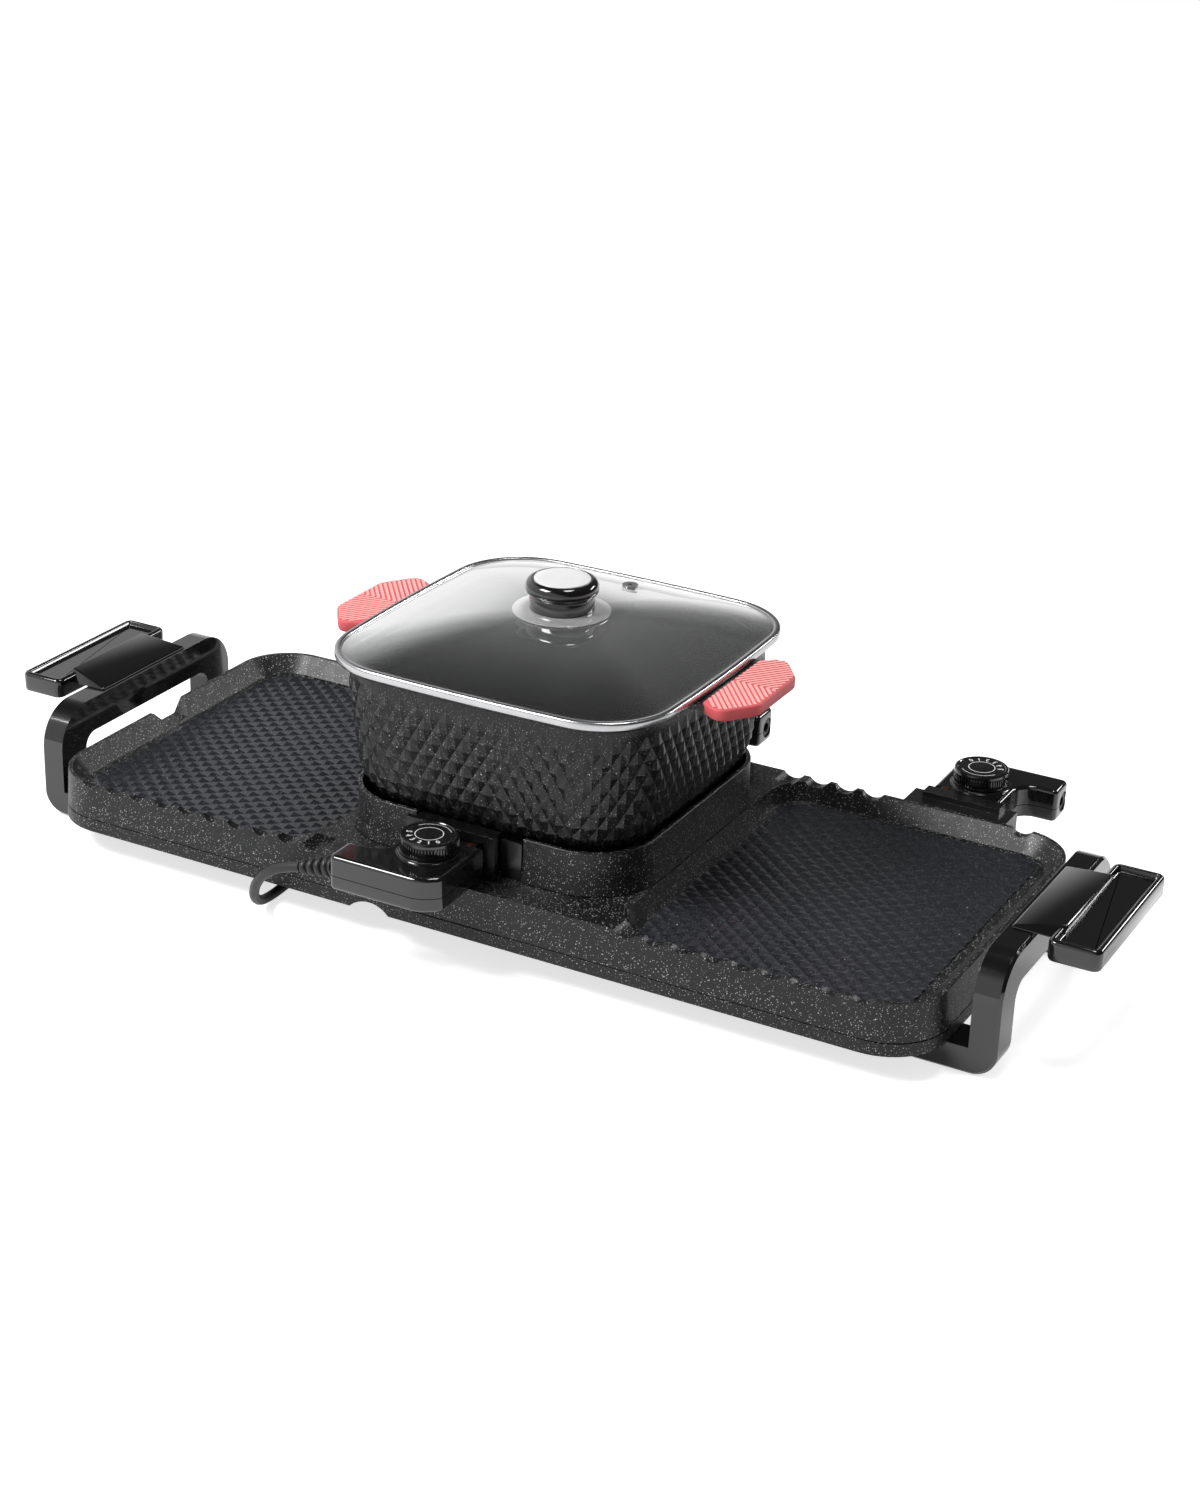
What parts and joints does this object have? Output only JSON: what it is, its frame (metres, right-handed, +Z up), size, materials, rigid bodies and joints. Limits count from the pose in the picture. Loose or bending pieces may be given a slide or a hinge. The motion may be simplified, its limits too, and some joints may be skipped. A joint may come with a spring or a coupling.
{
  "type": "electric grill with divided hot pot and lid",
  "caption": "Long tabletop electric grill tray with a lidded, divided hot pot in a central collar, end carry handles and plug-in thermostat controls.",
  "frame": {"origin": "on the table under the middle of the appliance: midway between the two grips, and midway in depth between the outer faces of the front pot control and the rear grill control", "axes": "+X along the length towards the end with the grill socket, +Y to the rear, +Z up"},
  "size_m": [0.846, 0.43, 0.2294],
  "materials": {
    "speckled_coating": "black non-stick coating with fine white specks",
    "gloss_black_plastic": "glossy",
    "matte_black_plastic": "matte",
    "dial_plastic": "satin with white markings",
    "pink_silicone": "soft matte",
    "lid_glass": "clear",
    "clear_ring": "clear",
    "steel": "polished",
    "chrome": "mirror",
    "heater_steel": "heat darkened",
    "cast_aluminium": "as cast",
    "brass": "bright",
    "cord_jacket": "matte",
    "black_rubber": "matte",
    "lamp_lens": "translucent"
  },
  "bodies": {
    "tray": {"base_shell": "speckled_coating", "base_screws": "steel", "grill_tray": "speckled_coating", "pot_collar": "speckled_coating", "left_bracket": "gloss_black_plastic", "right_bracket": "gloss_black_plastic", "left_grip": "gloss_black_plastic", "right_grip": "gloss_black_plastic", "grip_screws": "steel", "foot_pads": "black_rubber", "grill_element": "heater_steel", "element_clamps": "steel", "pot_heater_plate": "cast_aluminium", "front_pot_element": "heater_steel", "rear_pot_element": "heater_steel", "front_socket_shroud": "gloss_black_plastic", "rear_socket_shroud": "gloss_black_plastic", "grill_socket_shroud": "gloss_black_plastic", "front_terminal_pins": "brass", "rear_terminal_pins": "brass", "grill_terminal_pins": "brass", "cord_run": "cord_jacket", "cord_coil": "cord_jacket", "cord_tail": "cord_jacket", "plug_body": "cord_jacket", "plug_blades": "brass"},
    "pot": {"pot_shell": "speckled_coating", "pot_divider": "speckled_coating", "left_sleeve": "pink_silicone", "right_sleeve": "pink_silicone"},
    "lid": {"lid_band": "steel", "lid_glass": "lid_glass", "knob_flange": "clear_ring", "knob_body": "gloss_black_plastic", "knob_cap": "chrome", "knob_washer": "black_rubber", "knob_screw": "steel", "vent_grommet": "steel"},
    "front_control": {"front_lower_housing": "gloss_black_plastic", "front_upper_housing": "gloss_black_plastic", "front_lamp_lens": "lamp_lens", "front_probe": "steel", "strain_relief": "cord_jacket"},
    "front_dial": {"front_dial": "dial_plastic"},
    "rear_control": {"rear_lower_housing": "gloss_black_plastic", "rear_upper_housing": "gloss_black_plastic", "rear_lamp_lens": "lamp_lens", "rear_probe": "steel", "rear_port_plug": "matte_black_plastic"},
    "rear_dial": {"rear_dial": "dial_plastic"},
    "grill_control": {"grill_lower_housing": "gloss_black_plastic", "grill_upper_housing": "gloss_black_plastic", "grill_lamp_lens": "lamp_lens", "grill_probe": "steel", "grill_port_plug": "matte_black_plastic"},
    "grill_dial": {"grill_dial": "dial_plastic"}
  },
  "joints": [
    {"name": "pot_lift", "type": "slide", "parent": "tray", "child": "pot", "axis": [0, 0, 1], "range_m": [0, 0.12]},
    {"name": "lid_lift", "type": "slide", "parent": "pot", "child": "lid", "axis": [0, 0, 1], "range_m": [0, 0.1]},
    {"name": "front_unplug", "type": "slide", "parent": "tray", "child": "front_control", "axis": [0, -1, 0], "range_m": [0, 0.062]},
    {"name": "rear_unplug", "type": "slide", "parent": "tray", "child": "rear_control", "axis": [0, 1, 0], "range_m": [0, 0.062]},
    {"name": "grill_unplug", "type": "slide", "parent": "tray", "child": "grill_control", "axis": [0, 1, 0], "range_m": [0, 0.062]},
    {"name": "front_dial_turn", "type": "hinge", "parent": "front_control", "child": "front_dial", "pos_m": [-0.0115, -0.1745, 0.0819], "axis": [0, 0, 1], "range_deg": [-270, 0]},
    {"name": "rear_dial_turn", "type": "hinge", "parent": "rear_control", "child": "rear_dial", "pos_m": [0.024, 0.1305, 0.0819], "axis": [0, 0, 1], "range_deg": [-270, 0]},
    {"name": "grill_dial_turn", "type": "hinge", "parent": "grill_control", "child": "grill_dial", "pos_m": [0.243, 0.1745, 0.0584], "axis": [0, 0, 1], "range_deg": [-270, 0]}
  ]
}
